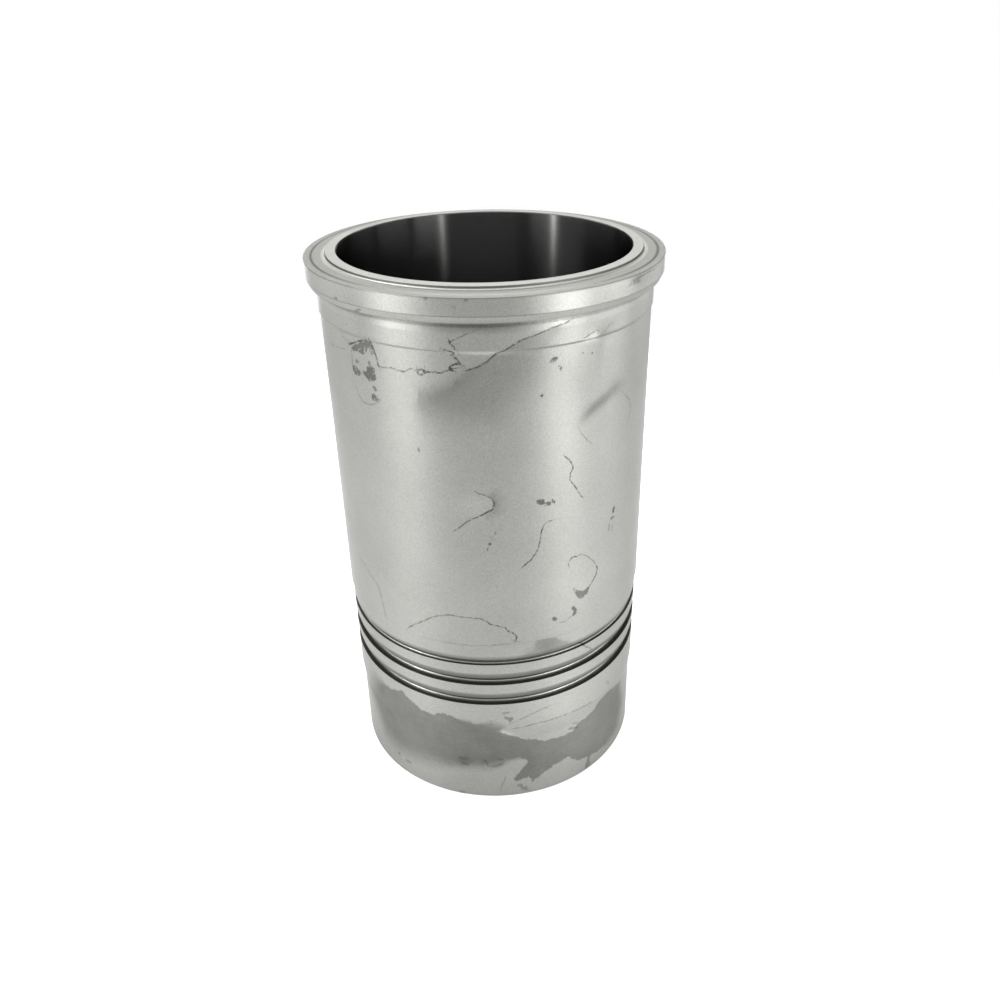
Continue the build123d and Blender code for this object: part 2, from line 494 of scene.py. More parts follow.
# %% [markdown]
# ## Spots and patches
# These are closed shapes. A rust spot is dark and ragged, and a dull patch is where the water stood longest.
# The skirt's patch has one sharp side, where the water's edge dried, and fades out on the other.

# %% Rust spots and dull patches: strength, then frame points, some with the softness of the side after them
RUST_EDGE = 0.25
DULL_EDGE = 0.6
RUST_SPOTS = (
    (0.7, [(351, 347), (354, 344), (360, 342), (366, 340.5), (371, 342), (372, 347), (367, 346),
        (366, 351), (362, 354), (358, 351), (353, 350)]),
    (0.6, [(369, 349), (372, 350), (374, 354), (371, 354)]),
    (0.5, [(354, 358), (358, 360), (359, 363), (355, 362)]),
    (0.6, [(367, 360), (370, 362), (371, 365), (368, 364)]),
    (0.72, [(352, 364.5), (355.6, 366), (359, 370), (360.5, 373), (358.7, 375.3), (354, 374), (352.5, 369)]),
    (0.78, [(366, 366), (374, 367), (375, 375), (376, 379), (369, 381), (365.5, 376), (361, 370.5),
        (367, 371)]),
    (0.65, [(372, 385.5), (374, 386), (377.5, 391.5), (374, 390)]),
    (0.8, [(371, 394), (374, 393), (377.8, 398), (375, 401.5), (372, 398.5)]),
    (0.8, [(536, 500), (543, 498.5), (545, 502), (541, 505), (537, 503)]),
    (0.8, [(544, 503), (550, 500.5), (551, 504), (545, 505.5)]),
    (0.68, [(573, 586.5), (575, 588.5), (578, 590.7), (582, 590.7), (585.5, 588.3), (589, 585.5),
        (588, 590.5), (585, 595), (580, 598), (576, 595.5), (573, 590.5)]),
)

MILD, SOFT, FADED = 2.0, 6.0, 11.0
DULL_PATCHES = (
    # below the long slanting line
    (0.23, [(569, 320), (545, 330), (520, 340), (504, 350), (490, 358), (475, 367), (467, 370, MILD),
        (458, 378, MILD), (450, 385, MILD), (444, 390, SOFT), (419, 388), (417, 398, MILD),
        (414, 408, SOFT), (425, 425, FADED), (500, 415, FADED), (535, 375, FADED),
        (560, 340, FADED)]),
    # the skirt
    (0.47, [(370, 684, FADED), (376, 677, SOFT), (382, 681, MILD), (390, 688), (402, 690), (408, 697),
        (413, 702), (420, 708), (427, 712), (431, 714), (442, 712.5), (450, 715), (460, 719, MILD),
        (470, 722, MILD), (478, 724, MILD), (490, 723, SOFT), (503, 727, MILD), (499, 731),
        (508, 734), (517, 736), (520, 738), (533, 739), (545, 740), (553, 738), (563, 735),
        (573, 730), (577, 723), (585, 717), (593, 710), (597, 702), (605, 693), (613, 686, MILD),
        (619, 681, SOFT), (621, 700, FADED), (617, 725, SOFT), (607, 742, MILD), (598, 750),
        (590, 755), (575, 760), (567, 756), (553, 765), (541, 774), (532, 781), (528, 776),
        (517, 780), (512, 779), (520, 770), (528, 761), (520, 757, MILD), (503, 762, SOFT),
        (490, 766, SOFT), (470, 766, SOFT), (440, 764, FADED), (420, 757, FADED), (400, 748, FADED),
        (386, 733, FADED), (380, 715, FADED)]),
    # above the grooves
    (0.26, [(533, 648, MILD), (536, 640), (545, 638), (555, 636.5), (560, 640), (566, 640, MILD),
        (574, 643, MILD), (560, 648, MILD), (545, 653, SOFT), (535, 655, SOFT), (525, 657, SOFT),
        (528, 651, SOFT)]),
    # outside the tip of the tongue
    (0.3, [(484, 493, MILD), (494, 492, SOFT), (501, 500, SOFT), (498, 512, SOFT), (488, 516, MILD),
        (492, 509), (494, 503), (490, 497)]),
)

# Smudges and painted light: frame point, half sizes across and down, turn in degrees, strength. A minus is a
# lighter place.
SMUDGES_AND_PAINTED_LIGHT = (
    # A smudge on the flange's edge.
    ((637, 278), (3.5, 5), 20, 0.28),
    # Painted highlights on the left and right of the flange's wall, and just under the flange at the right.
    ((350, 290), (22, 9), 25, -0.1),
    ((612, 284), (14, 8), -12, -0.1),
    ((563, 321), (5, 2), -20, -0.25),
    # Smudges round the long slanting line.
    ((602, 400), (3.4, 15), 48, 0.42),
    ((587, 415), (2.5, 9), 38, 0.2),
    ((616, 386), (5, 6), 20, 0.14),
    ((452, 384), (20, 6), -35, 0.18),
    ((440, 396), (16, 9), 0, 0.1),
    # Painted highlight along the pilot's bevel.
    ((487, 352.9), (22, 1.0), 0, -0.62),
    # Smudges at the right below the flange.
    ((606, 328), (5, 12), 40, 0.18),
    ((600, 345), (3, 14), 5, 0.14),
    # Painted shade and painted highlights that even out the bright bands and lighten the skirt and grooves.
    ((398, 395), (20, 30), 0, 0.04),
    ((568, 378), (20, 22), 0, 0.13),
    ((590, 590), (38, 40), 0, -0.11),
    ((500, 702), (110, 28), 0, -0.15),
    ((566, 702), (32, 26), 0, -0.13),
    ((592, 736), (24, 18), 0, -0.14),
    ((430, 768), (30, 8), 0, -0.08),
    # Lighter places: a wedge by the short line at the right, round the tongue, and a thin line on the skirt.
    ((590, 338), (5, 1.8), -25, -0.55),
    ((596, 336), (2.5, 3.5), 0, -0.3),
    ((475, 505), (14, 8), 0, -0.12),
    ((504, 732.5), (7, 1.3), 16, -0.55),
    # Smudges in the skirt's patch and above the grooves.
    ((465, 760), (4, 2.5), 10, 0.16),
    ((483, 761), (1.6, 2.4), 0, 0.14),
    ((497, 764), (5, 1.6), -12, 0.16),
    ((468, 757), (9, 4), 0, 0.1),
    ((462, 762), (5, 3), 20, 0.16),
    ((500, 758), (14, 4), -10, 0.1),
    ((548, 645), (8, 5), 0, 0.2),
    # Painted shade under the front of the flange, and down the left edge of the lower barrel.
    ((478, 326), (34, 3.5), 0, 0.45),
    ((345, 630), (8, 30), -15, 0.15),
)
print(len(RUST_SPOTS), "rust spots,", len(DULL_PATCHES), "dull patches,", len(SMUDGES_AND_PAINTED_LIGHT), "soft shades")

# %% [markdown]
# ## Distance to a mark
# A mesh point can't hold a line thinner than the gaps between the points. What it can hold is its distance to
# the nearest line, because that changes evenly from point to point. The material then draws the line where
# the distance is near nothing, as fine as it likes. A line's distance has a sign, plus on one side and minus
# on the other, so that it passes evenly through nothing at the line itself.

# %% Distances on the wall, in half widths from a line and in millimetres from the side of a patch
NO_LINE = 99.0
FAR_FROM_LINE = 8.0
INK_AT_LINE = 1.3
INK_REACH = 2.6
FAR_OUTSIDE = -30.0
SIDE_BLEND = 0.6
SIDE_PULL = 4
NEARLY_NOTHING = 1e-9


def to_sides(place, corners, closed):
    """Distance from each place to each side of a line of corners, and on which side of it the place lies.

    The nearest point of a side is its start plus its run times t, where t is the share of the way along it,
    kept between 0 and 1. The cross product of the run and the way to the place gives the sign.
    """
    start = corners if closed else corners[:-1]
    run = (np.roll(corners, -1, 0) if closed else corners[1:]) - start
    gap = place[:, None, :] - start[None, :, :]
    t = np.clip(np.sum(gap * run, axis=2) / np.sum(run * run, axis=1), 0, 1)
    left = gap - t[:, :, None] * run
    side = np.sign(run[:, 0] * gap[:, :, 1] - run[:, 1] * gap[:, :, 0])
    return np.linalg.norm(left, axis=2), side


def inside(place, corners):
    """True inside a closed outline: a level line from the place crosses its sides an odd number of times."""
    start, end = corners, np.roll(corners, -1, 0)
    x, y = place[:, :1], place[:, 1:]
    spans = (start[:, 1] > y) != (end[:, 1] > y)
    rise = np.where(end[:, 1] == start[:, 1], NEARLY_NOTHING, end[:, 1] - start[:, 1])
    crossing = start[:, 0] + (y - start[:, 1]) / rise * (end[:, 0] - start[:, 0])
    return np.sum(spans & (x < crossing), axis=1) % 2 == 1


def nearest_line(place, strokes, signed):
    """Distance to the nearest stroke in half widths, and its strength, which fades away from it.

    A signed distance makes the thinnest line, but the sign also changes past a stroke's end, which would
    draw a tail there. So the specks, which are mostly ends, go without it.
    """
    count = len(place)
    best, side, ink = np.full(count, NO_LINE), np.full(count, NO_LINE), np.zeros(count)
    for half_width, strength, points in strokes:
        distance, sign = to_sides(place, on_wall(points), False)
        pick = distance.argmin(axis=1)[:, None]
        near = np.take_along_axis(distance, pick, 1)[:, 0]
        near_side = near * np.take_along_axis(sign, pick, 1)[:, 0] if signed else near
        closer = near / half_width < best
        best = np.where(closer, near / half_width, best)
        side = np.where(closer, near_side / half_width, side)
        ink = np.where(closer, strength * np.clip(INK_AT_LINE - near / INK_REACH, 0, 1), ink)
    return np.clip(side, -FAR_FROM_LINE, FAR_FROM_LINE), ink


def nearest_patch(place, patches, plain_edge):
    """How far inside the nearest patch a place is, that patch's strength, and the softness of its sides.

    The softness is a mean of the sides' own, in which the near sides count for much more.
    """
    count = len(place)
    depth, strength, softness = np.full(count, FAR_OUTSIDE), np.zeros(count), np.ones(count)
    for patch_strength, points in patches:
        corners = on_wall([point[:2] for point in points])
        side_softness = np.array([point[2] if len(point) == 3 else plain_edge for point in points])
        distance, _ = to_sides(place, corners, True)
        near = distance.min(axis=1)
        signed = np.where(inside(place, corners), near, -near)
        weight = 1 / (distance + SIDE_BLEND) ** SIDE_PULL
        blended = (weight * side_softness).sum(axis=1) / weight.sum(axis=1)
        deeper = signed > depth
        depth = np.where(deeper, signed, depth)
        strength = np.where(deeper, patch_strength, strength)
        softness = np.where(deeper, blended, softness)
    return depth, strength, softness


def soft_shade(place, shades):
    """Sum of bells: strength times exp(-(a squared + b squared) / 2), a and b in turned half sizes."""
    total = np.zeros(len(place))
    for (across, down), (wide, high), turn, strength in shades:
        frame_size = on_wall([(across, down), (across + 1, down), (across, down + 1)])
        step_across, step_down = frame_size[1] - frame_size[0], frame_size[2] - frame_size[0]
        back = np.linalg.inv(np.column_stack([step_across, step_down]))
        x, y = back @ (place - frame_size[0]).T
        c, s = math.cos(math.radians(turn)), math.sin(math.radians(turn))
        total += strength * np.exp(-(((c * x + s * y) / wide) ** 2 + ((c * y - s * x) / high) ** 2) / 2)
    return total


# %% [markdown]
# ## Painted shade in the corners
# The grooves and the side of the fire ring get a painted shade, nearly black in the grooves, and a groove's
# roof and the fire ring's foot and top get a painted highlight. It could be painted from a Geometry node's
# pointiness, but that depends on the mesh. Here it follows the outline itself: the radius and height of a row
# say whether it is on a groove's ledge, bed, roof or lip.

# %% Painted shade along the outline: 1 is black, 0 is the iron's own colour, and a minus is a painted highlight, lighter than the iron
LEDGE_PAINTED_SHADE = 0.76
BED_PAINTED_SHADE = 0.66
ROOF_PAINTED_HIGHLIGHT = -0.25
SHALLOW_ROOF_EXTRA = -0.5
LIP_PAINTED_SHADE = 0.3
LIP_FOOT_EXTRA = 0.35
SHALLOW_LIP_SHARE = 0.2
RING_FOOT_PAINTED_HIGHLIGHT = -0.65
RING_SIDE_PAINTED_SHADE = 0.45
RING_TOP_PAINTED_HIGHLIGHT = -0.35

# A row still counts as lying on a face from this far off, in millimetres.
TOUCHING = 0.02
CLOSE_BY = 0.05
BESIDE = 0.1
LEDGE_ROUNDING = 0.12

RING_FOOT_WIDTH = 0.9
RING_FOOT_HEIGHT = 0.7
DEEPEST_GROOVE = max(groove[2] for groove in GROOVES)


def between(low, numbers, high):
    """True where the numbers lie between two limits."""
    return (numbers > low) & (numbers < high)


def painted_light_at(points):
    """How much painted shade each row of the outline gets, a minus being a painted highlight. A shallow
    groove gets less shade than a deep one.
    """
    radius, height = points.T
    painted_light = np.zeros(len(points))
    for lower_edge, width, depth, lip_height, _, bed_radius in GROOVES:
        share = depth / DEEPEST_GROOVE
        floor = LAND_RADIUS - depth
        lip = lower_edge + width
        lip_top = lip + lip_height
        within = (radius < LAND_RADIUS - TOUCHING) & between(lower_edge - CLOSE_BY, height, lip_top)
        on_lip = within & (height >= lip)
        on_ledge = within & (height < lower_edge + LEDGE_ROUNDING) & (radius > floor + bed_radius)
        on_bed = within & (height < lip) & (radius < floor + TOUCHING)
        lip_shade = LIP_PAINTED_SHADE + LIP_FOOT_EXTRA * (lip_top - height[on_lip]) / lip_height
        # Painted highlight on the roof and bed corner, and painted shade on the lip, ledge and bed.
        painted_light[within] = ROOF_PAINTED_HIGHLIGHT + SHALLOW_ROOF_EXTRA * (1 - share)
        painted_light[on_lip] = lip_shade * (SHALLOW_LIP_SHARE + (1 - SHALLOW_LIP_SHARE) * share)
        painted_light[on_ledge] = LEDGE_PAINTED_SHADE
        painted_light[on_bed] = BED_PAINTED_SHADE
    # Painted highlight on the fire ring's foot and top, and painted shade on its side.
    from_ring = radius - FIRE_RING_RADIUS
    above_flange = height - FLANGE_TOP
    painted_light[between(BESIDE, from_ring, RING_FOOT_WIDTH) & (above_flange > -CLOSE_BY)] = RING_FOOT_PAINTED_HIGHLIGHT
    painted_light[(np.abs(from_ring) < CLOSE_BY) & (above_flange > RING_FOOT_HEIGHT)] = RING_SIDE_PAINTED_SHADE
    painted_light[(from_ring < BESIDE) & (height > OVERALL_HEIGHT - BESIDE)] = RING_TOP_PAINTED_HIGHLIGHT
    return painted_light


# %% [markdown]
# ## Marks on the mesh
# Byte colours could hold the marks, but each would be cut to 256 steps. Each number goes into an attribute
# of its own on the mesh's points, at full precision. Some edges are given a painted shade only where the wall
# turns away to the sides, so it comes in along the flanks.

# %% Carry the marks to the mesh's points, outside one radius and within an angle of the front in radians
OUTSIDE_FROM = 86.4
MARKED_ANGLE = 1.75
RIM_LINE_REACH = 0.3
SEAL_LIP_RISE = 3.6
SEAL_LIP_REACH = 0.6

row_radius, row_height = outline.T
wall_place = np.stack(np.broadcast_arrays(angles[None, :] * WALL, outline[:, 1:]), axis=2).reshape(-1, 2)
near_front = np.abs(wall_place[:, 0]) < MARKED_ANGLE * WALL
on_outside = np.repeat(row_radius > OUTSIDE_FROM, len(angles)) & (wall_place[:, 1] < RIM_TOP - CLOSE_BY)
is_marked = on_outside & near_front
marked_place = wall_place[is_marked]


def store(name, numbers):
    """Store one number per mesh point under a name."""
    layer = liner_mesh.attributes.new(name, "FLOAT", "POINT")
    layer.data.foreach_set("value", numbers.ravel().astype(np.float32))


def store_marks(name, worked_out, plain):
    """Store the worked out numbers on the marked wall, and a plain one elsewhere."""
    whole = np.full(len(wall_place), plain)
    whole[is_marked] = worked_out
    store(name, whole)


def past(start, fade):
    """For each column, 0 up to an angle from the front and 1 past it by the fade, in radians."""
    from_front = np.abs(np.angle(np.exp(1j * angles)))
    return np.clip((from_front - start) / fade, 0, 1)


for name, strokes, signed in (("line", DRYING_LINES, True), ("speck", SPECKS, False)):
    line_side, line_ink = nearest_line(marked_place, strokes, signed)
    store_marks(name + "_side", line_side, FAR_FROM_LINE)
    store_marks(name + "_ink", line_ink, 0.0)
for name, patches, plain_edge in (("rust", RUST_SPOTS, RUST_EDGE), ("dull", DULL_PATCHES, DULL_EDGE)):
    patch_depth, patch_strength, patch_softness = nearest_patch(marked_place, patches, plain_edge)
    store_marks(name + "_depth", patch_depth, FAR_OUTSIDE)
    store_marks(name + "_strength", patch_strength, 0.0)
    store_marks(name + "_softness", patch_softness, 1.0)
# The smudges and the painted highlights and shade of the table above, summed.
store_marks("smudges_and_painted_light", soft_shade(marked_place, SMUDGES_AND_PAINTED_LIGHT), 0.0)

rim_line = (np.abs(row_radius - RIM_RADIUS) < RIM_LINE_REACH) & (row_height > RIM_TOP)
pilot_bevel = between(PILOT_BEVEL_FOOT - CLOSE_BY, row_height, PILOT_FOOT + BESIDE)
pilot_bevel = pilot_bevel & (row_radius > BARREL_RADIUS)
flange_bevel = row_radius > FLANGE_RADIUS - FLANGE_BEVEL_WIDTH - BESIDE
flange_bevel = flange_bevel & (row_height < FLANGE_BEVEL_TOP)
above_seal = row_height - GROOVES[-1][0] - GROOVES[-1][1]
seal_lip = between(-BESIDE, above_seal, SEAL_LIP_RISE) & (row_radius > LAND_RADIUS - SEAL_LIP_REACH)

# Painted shade on the flanks only: rows, how much, the angle from the front where it starts, and its fade.
FLANK_PAINTED_SHADES = (
    (rim_line, 0.5, 0.45, 0.4),
    (pilot_bevel, 0.2, 0.45, 0.4),
    (flange_bevel, 0.12, 0.45, 0.4),
    (seal_lip, 0.27, 0.9, 0.3),
)
flanks = sum(np.outer(amount * rows, past(start, fade)) for rows, amount, start, fade in FLANK_PAINTED_SHADES)
store("painted_light", painted_light_at(outline)[:, None] + flanks)
print("marks stored on", int(is_marked.sum()), "points")

# %% [markdown]
# ## Writing a finish as sums
# Shader nodes can be wired by hand in the editor. A finish with many masks is easier to read as arithmetic,
# so a small class wraps a socket and lets plain sums and products add their Math nodes, and one method makes
# every other node.

# %% Shader helpers


class Value:
    """A socket that plain arithmetic works on."""

    def __init__(self, finish, socket):
        self.finish, self.socket = finish, socket

    def math(self, operation, *others):
        """A Math node on this value and the others, in that order."""
        inputs = {place: other for place, other in enumerate((self, *others))}
        return self.finish.node("ShaderNodeMath", {"operation": operation}, inputs)

    def __add__(self, other):
        return self.math("ADD", other)

    def __sub__(self, other):
        return self.math("SUBTRACT", other)

    def __mul__(self, other):
        return self.math("MULTIPLY", other)

    def __truediv__(self, other):
        return self.math("DIVIDE", other)

    def __rsub__(self, other):
        return self.finish.node("ShaderNodeMath", {"operation": "SUBTRACT"}, {0: other, 1: self})

    __radd__ = __add__
    __rmul__ = __mul__

    def __abs__(self):
        return self.math("ABSOLUTE")

    def axis(self, number):
        """One of the three numbers of a place: 0 is across, 1 is into the picture, 2 is up."""
        return self.finish.node("ShaderNodeSeparateXYZ", None, {"Vector": self}, output=number)

    def fade(self, start, end):
        """0 where the value is at start or before it, 1 at end or past it, and a smooth slope between."""
        settings = {"interpolation_type": "SMOOTHSTEP"}
        limits = {"Value": self, "From Min": start, "From Max": end, "To Min": 0.0, "To Max": 1.0}
        return self.finish.node("ShaderNodeMapRange", settings, limits)


class Finish:
    """A material under construction. Most of its methods give back what comes out of the nodes they add."""

    def __init__(self, name):
        self.material = bpy.data.materials.new(name)
        self.material.use_nodes = True
        self.tree = self.material.node_tree
        self.tree.nodes.clear()

    def node(self, kind, settings=None, inputs=None, output=0):
        """Any node, with its settings by name and its inputs, values or numbers, by name or place."""
        made = self.tree.nodes.new(kind)
        for name, value in (settings or {}).items():
            setattr(made, name, value)
        for name, value in (inputs or {}).items():
            if isinstance(value, Value):
                self.tree.links.new(value.socket, made.inputs[name])
            else:
                made.inputs[name].default_value = value
        return Value(self, made.outputs[output]) if len(made.outputs) else None

    def mix(self, factor, first, second):
        """A colour between two colours."""
        settings = {"data_type": "RGBA"}
        return self.node("ShaderNodeMix", settings, {"Factor": factor, 6: first, 7: second}, output=2)

    def stored(self, name):
        """A number that is stored on the mesh's points."""
        return self.node("ShaderNodeAttribute", {"attribute_name": name}, output="Fac")

    def place(self):
        """Where the surface is, in metres."""
        return self.node("ShaderNodeTexCoord", output="Object")

    def noise(self, scale, detail):
        """Noise from 0 to 1, at a scale in lumps per metre."""
        inputs = {"Vector": self.place(), "Scale": scale, "Detail": detail, "Roughness": 0.55}
        return self.node("ShaderNodeTexNoise", None, inputs)

    def sway(self, scale, detail, amount):
        """Noise that sways about nothing, by the amount from one side to the other."""
        return (self.noise(scale, detail) - 0.5) * amount

    def bare_metal(self, looks, bump_looks):
        """Bare metal on the liner, from the settings of a Principled shader and of the bump on it."""
        bump = self.node("ShaderNodeBump", None, bump_looks)
        shader = self.node("ShaderNodeBsdfPrincipled", None, {"Metallic": 1.0, "Normal": bump, **looks})
        self.node("ShaderNodeOutputMaterial", None, {"Surface": shader})
        liner_mesh.materials.append(self.material)
        print(self.material.name, len(self.tree.nodes), "nodes")


# %% [markdown]
# ## Blasted iron with its marks
# The outside was blasted with fine grit, so it is bare grey metal with a fine grain and a broad, soft shine.
# A picture of a real wall could be wrapped round it, but it would repeat and blur. Here the grain is
# noise, and the marks are drawn from the stored distances. More noise moves every distance a little, so
# that the edges come out ragged.

# %% Blasted iron
BARE_IRON = (0.42, 0.42, 0.4, 1)
# The dark end that stains, grain and painted shade take the iron towards.
DARKEST_IRON = (0.004, 0.004, 0.0035, 1)
IRON_LEVEL = 0.5
IRON_ROUGHNESS = 0.42
LINE_STRENGTH = 1.05
RUST_STRENGTH = 0.82

# Noise that sways: lumps per metre, detail, amount.
BROAD_WANDER, FINE_WANDER = (240, 3.0, 3.0), (900, 2.0, 1.4)
CLOUD, FINE_GRIT, COARSE_GRIT = (28, 3.0, 0.22), (1500, 2.0, 0.6), (600, 2.0, 0.15)
SHINE_CLOUD = (60, 3.0, 0.08)

# How much of the wander moves each other kind of mark.
SPECK_WANDER, RUST_WANDER, DULL_WANDER = 0.35, 0.6, 1.3

# A line or a speck fades from the first distance to the second, and a patch comes in between its two.
LINE_FADE, SPECK_FADE = (0.35, 1.45), (0.75, 1.45)
RUST_FADE, DULL_FADE = (-2.2, 1.0), (-1.0, 1.0)

# A mark has gaps where the patchy noise is below the first number, and none above the second.
LINE_GAPS, SPECK_GAPS, RUST_GAPS = (0.25, 0.6), (0.1, 0.42), (0.31, 0.45)

# Fine dark lines along turned edges, the third a broad painted shadow under the flange: height, the distances
# where one starts to fade and is gone, strength.
EDGE_LINES = (
    (FLANGE_BEVEL_TOP + 0.05, 0.1, 0.5, 0.3),
    (SEAT_LEVEL + 0.15, 0.1, 0.5, 0.22),
    # Painted shadow under the flange's overhang.
    (SEAT_LEVEL - 2.0, 0.3, 1.4, 0.35),
    (RIM_TOP - 0.35, 0.15, 0.5, 0.33),
)

iron = Finish("blasted_iron")
wander = iron.sway(*BROAD_WANDER) + iron.sway(*FINE_WANDER)
patchy = iron.noise(520, 3.0)

line = 1 - abs(iron.stored("line_side") + wander).fade(*LINE_FADE)
line_mark = line * iron.stored("line_ink") * patchy.fade(*LINE_GAPS) * LINE_STRENGTH
speck = 1 - (iron.stored("speck_side") + wander * SPECK_WANDER).fade(*SPECK_FADE)
speck_mark = speck * iron.stored("speck_ink") * patchy.fade(*SPECK_GAPS)


def patch(name, share, limits):
    """Patches of one kind, whose edges move by a share of the wander."""
    edge = (iron.stored(name + "_depth") + wander * share) / iron.stored(name + "_softness")
    return edge.fade(*limits) * iron.stored(name + "_strength")


rust_mark = patch("rust", RUST_WANDER, RUST_FADE) * patchy.fade(*RUST_GAPS) * RUST_STRENGTH
dull_mark = patch("dull", DULL_WANDER, DULL_FADE) * (0.8 + 0.4 * iron.noise(90, 4.0))

height = iron.place().axis(2) / MM
edge_lines = sum((1 - abs(height - level).fade(start, end)) * ink for level, start, end, ink in EDGE_LINES)
edge_mark = edge_lines * (0.5 + patchy * 0.9)

# Painted shade and highlights from the outline, and smudges with painted light, darken or lighten the iron
# here.
painted_light, smudges_and_painted_light = iron.stored("painted_light"), iron.stored("smudges_and_painted_light")
unmarked_and_unshaded = math.prod(1 - mark for mark in (dull_mark, edge_mark, rust_mark, line_mark, speck_mark, painted_light, smudges_and_painted_light))
bright = unmarked_and_unshaded * (1 + iron.sway(*CLOUD) + (iron.sway(*FINE_GRIT) + iron.sway(*COARSE_GRIT)))
iron.bare_metal({
    "Base Color": iron.mix(bright * IRON_LEVEL, DARKEST_IRON, BARE_IRON),
    "Roughness": IRON_ROUGHNESS + 0.25 * dull_mark + 0.2 * rust_mark + iron.sway(*SHINE_CLOUD),
    "Anisotropic": 0.6,
    "Anisotropic Rotation": 0.25,
    "Specular Tint": (0.7, 0.7, 0.7, 1),
}, {"Strength": 0.15, "Distance": 0.0002, "Height": iron.noise(2600, 2.0)})

# %% [markdown]
# ## The turned faces on top
# The fire ring and the top of the flange were faced in a lathe and never blasted. They are the same iron, but
# they shine evenly from all sides, so they get a finish of their own without the stretched shine.

# %% Turned top faces
FACE_LEVEL = 0.55
FACE_ROUGHNESS = 0.5
FACE_CLOUD, FACE_GRIT, FACE_SHINE_CLOUD = (28, 3.0, 0.2), (1300, 2.0, 0.5), (90, 2.0, 0.06)

face = Finish("turned_face")
# The fire ring's foot and top get a painted highlight here, and its side a painted shade.
face_bright = (1 - face.stored("painted_light")) * (1 + face.sway(*FACE_CLOUD) + face.sway(*FACE_GRIT))
face.bare_metal({
    "Base Color": face.mix(face_bright * FACE_LEVEL, DARKEST_IRON, BARE_IRON),
    "Roughness": FACE_ROUGHNESS + face.sway(*FACE_SHINE_CLOUD),
    "Specular Tint": (0.3, 0.3, 0.3, 1),
}, {"Strength": 0.1, "Distance": 0.0002, "Height": face.noise(2000, 2.0)})

# %% [markdown]
# ## The honed bore
# The bore is honed: stones turn and slide in it at the same time, and leave two sets of fine scratches that
# cross. They are too fine to see one by one, but they spread the light up and down. Each set is a sine of
# the angle round the axis plus the height. The angle is multiplied by a whole number, so that the pattern
# meets itself where the angle starts again.

# %% Honed bore
HONING_STARTS = 140
HONING_ANGLE = 30
WAVER = 6
HATCH_DEPTH = 0.03
SCRATCH_DEPTH = 0.3
BORE_BLACK, BORE_GREY = (0.0, 0.0, 0.0, 1), (0.108, 0.108, 0.106, 1)
BORE_LEVEL = 0.65
BORE_ROUGHNESS = 0.255

# The bore is darker by this factor up to the first height, in metres, and the darkening ends at the second.
LOWER_BORE_LEVEL = 0.72
LOWER_BORE_ENDS = (0.27, 0.3)

bore = Finish("honed_bore")
east, north, rise = (bore.place().axis(number) for number in range(3))
turn_round = east.math("ARCTAN2", north)
climb = HONING_STARTS / (BORE_RADIUS * MM * math.tan(math.radians(HONING_ANGLE)))
waver = bore.noise(30, 2.0) * WAVER
rising = (turn_round * HONING_STARTS + rise * climb + waver).math("SINE")
falling = (turn_round * HONING_STARTS - rise * climb + waver).math("SINE")
scratch = bore.noise(700, 3.0) - 0.5
hatch = (rising + falling) * HATCH_DEPTH + scratch * SCRATCH_DEPTH
lower_bore_level = LOWER_BORE_LEVEL + (1 - LOWER_BORE_LEVEL) * rise.fade(*LOWER_BORE_ENDS)
bore.bare_metal({
    "Base Color": bore.mix((BORE_LEVEL + hatch) * lower_bore_level, BORE_BLACK, BORE_GREY),
    "Roughness": BORE_ROUGHNESS + scratch * 0.02,
    "Anisotropic": 0.99,
    "Anisotropic Rotation": 0.25,
    "Specular Tint": (0.4, 0.4, 0.4, 1),
}, {"Strength": 0.02, "Distance": 0.0001, "Height": rising + falling})

# %% [markdown]
# ## Three finishes on one piece
# A finish could be painted on by choosing faces in the editor. Here each row of the outline knows where it
# is, so the rows inside the bore get the honed finish, the rows on top get the turned one, and the rest is
# blasted.

# %% Which faces have which finish
BORE_REACH = 80.2
BLASTED, TURNED, HONED = range(3)

# A row of faces lies between two rows of points, so both have to be in the bore, or on top.
wider = np.maximum(row_radius, np.roll(row_radius, -1))
lower = np.minimum(row_height, np.roll(row_height, -1))
outside_finish = np.where(lower > RIM_TOP - CLOSE_BY, TURNED, BLASTED)
row_finish = np.where(wider < BORE_REACH, HONED, outside_finish).astype(np.int32)
liner_mesh.polygons.foreach_set("material_index", np.repeat(row_finish, len(angles)))
print("rows blasted, turned, honed:", np.bincount(row_finish).tolist())

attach(liner, "root")
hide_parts("cylinder_liner")

# %% [markdown]
# ## The floor
# A pale, matt floor gives the liner something to stand on and to mirror. A plane out to the horizon would
# need light all the way, or its far part turns grey. Here the floor is a disc whose rim fades into the white
# studio behind it, so no edge shows.

# %% Floor
FLOOR_RADIUS = 0.9
FLOOR_FADE = 0.4
FLOOR_SIDES = 96

floor_finish = Finish("pale_floor")
matt = floor_finish.node("ShaderNodeBsdfDiffuse", None, {"Color": (0.9, 0.9, 0.9, 1)})
clear = floor_finish.node("ShaderNodeBsdfTransparent")
length = {"operation": "LENGTH"}
from_axis = floor_finish.node("ShaderNodeVectorMath", length, {0: floor_finish.place()}, output="Value")
fading = from_axis.fade(FLOOR_RADIUS - FLOOR_FADE, FLOOR_RADIUS)
floor_look = floor_finish.node("ShaderNodeMixShader", None, {0: fading, 1: matt, 2: clear})
floor_finish.node("ShaderNodeOutputMaterial", None, {"Surface": floor_look})

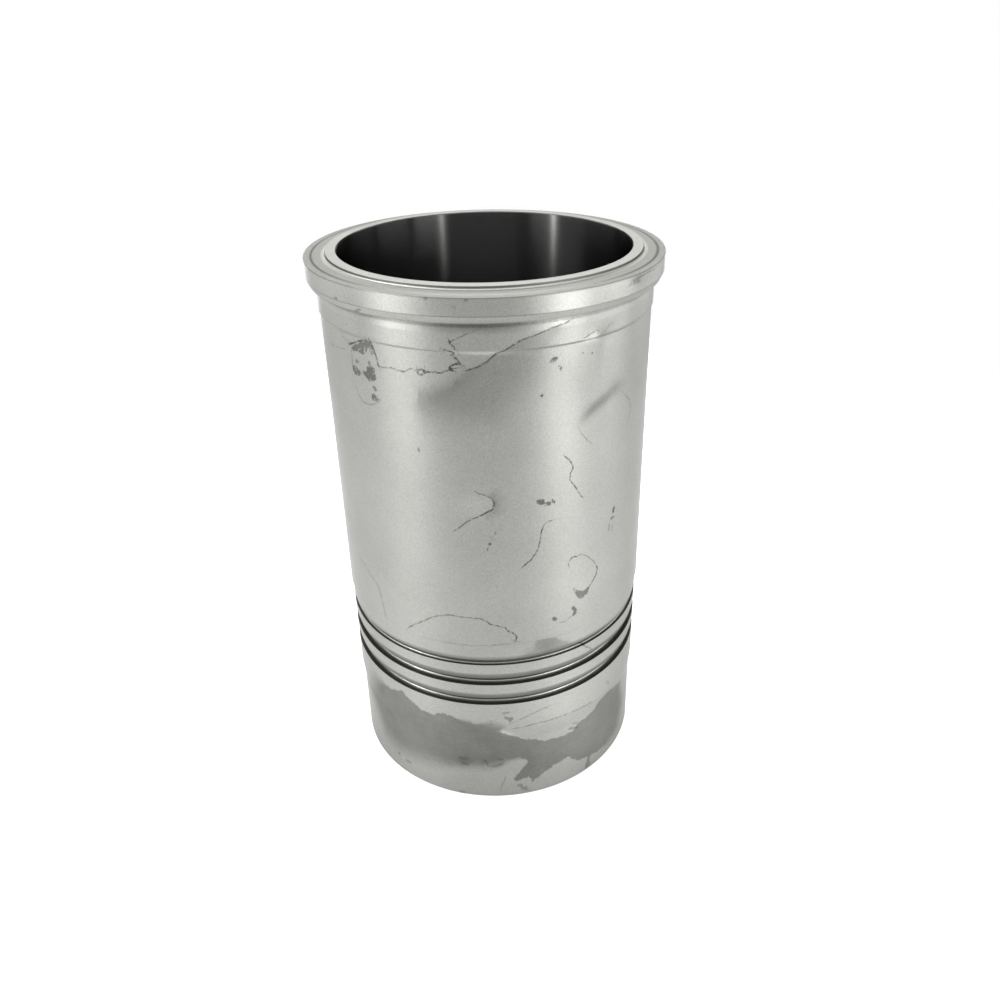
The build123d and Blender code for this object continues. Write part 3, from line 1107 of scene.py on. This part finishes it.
rim_angles = np.linspace(0, 2 * math.pi, FLOOR_SIDES, endpoint=False)
rim = np.column_stack([np.cos(rim_angles), np.sin(rim_angles), 0 * rim_angles]) * FLOOR_RADIUS
floor_mesh = bpy.data.meshes.new("floor")
floor_mesh.from_pydata(rim.tolist(), [], [tuple(range(FLOOR_SIDES))])
floor_mesh.materials.append(floor_finish.material)
floor = bpy.data.objects.new("floor", floor_mesh)
link(floor)

# %% [markdown]
# ## The lights
# Polished iron shows what stands round it, so it is lit with large soft boxes in a white studio. Spot lamps
# could be used, but they make hard glints. Here each box is an area light that looks at the liner. The boxes
# at the sides give the bright bands on the barrel, and two narrow strips give the streaks in the bore.

# %% Lights
MIDDLE_OF_LINER = (0, 0, 0.16)


def softbox(name, azimuth, distance, height, size, power):
    """An area light at an angle round the axis from the front, aimed at the middle of the liner."""
    a = math.radians(azimuth)
    place = np.array([distance * math.sin(a), -distance * math.cos(a), height])
    light = bpy.data.lights.new(name, "AREA")
    light.shape = "RECTANGLE"
    light.size, light.size_y = size
    light.energy = power
    lamp = bpy.data.objects.new(name, light)
    toward = np.array(MIDDLE_OF_LINER) - place
    toward /= np.linalg.norm(toward)
    side = np.cross(toward, (0, 0, 1.0))
    side /= np.linalg.norm(side)
    over = np.cross(side, toward)
    facing = Matrix(np.column_stack([side, over, -toward]).tolist()).to_4x4()
    lamp.matrix_world = Matrix.Translation(place) @ facing
    link(lamp)


# Azimuth in degrees, distance and height in metres, width and height of the box in metres, power in watts.
SOFTBOXES = (
    ("left_front", -50, 0.9, 0.25, (0.3, 0.45), 1.8),
    ("left_side", -112, 0.9, 0.25, (0.8, 0.45), 1.85),
    ("front_high", 0, 0.9, 0.7, (1.0, 0.2), 1.5),
    ("right_front", 50, 0.9, 0.25, (0.35, 0.45), 4.0),
    ("right_side", 84, 0.9, 0.25, (0.5, 0.45), 2.8),
    ("right_back", 122, 0.9, 0.25, (0.5, 0.45), 1.4),
    ("back", 165, 0.9, 0.25, (0.4, 0.45), 2.0),
    ("left_back", -155, 0.9, 0.25, (0.4, 0.45), 2.0),
    ("left_high", -75, 0.8, 0.85, (0.7, 0.4), 6.2),
    ("left_back_high", -135, 0.8, 0.85, (0.6, 0.6), 0.6),
    ("left_strip", -62, 0.9, 0.45, (0.02, 0.3), 3.4),
    ("right_strip", 37, 0.9, 0.45, (0.035, 0.3), 2.0),
    ("back_high", 180, 0.8, 1.05, (0.9, 0.3), 7.3),
    ("overhead", 180, 0.05, 1.3, (0.9, 0.9), 6.0),
)
for box in SOFTBOXES:
    softbox(*box)
print(len(SOFTBOXES), "soft boxes")

world = bpy.data.worlds.new("studio")
world.use_nodes = True
background = world.node_tree.nodes["Background"]
background.inputs["Color"].default_value = (1, 1, 1, 1)
background.inputs["Strength"].default_value = 1.0
scene.world = world
scene.view_settings.view_transform = "Standard"
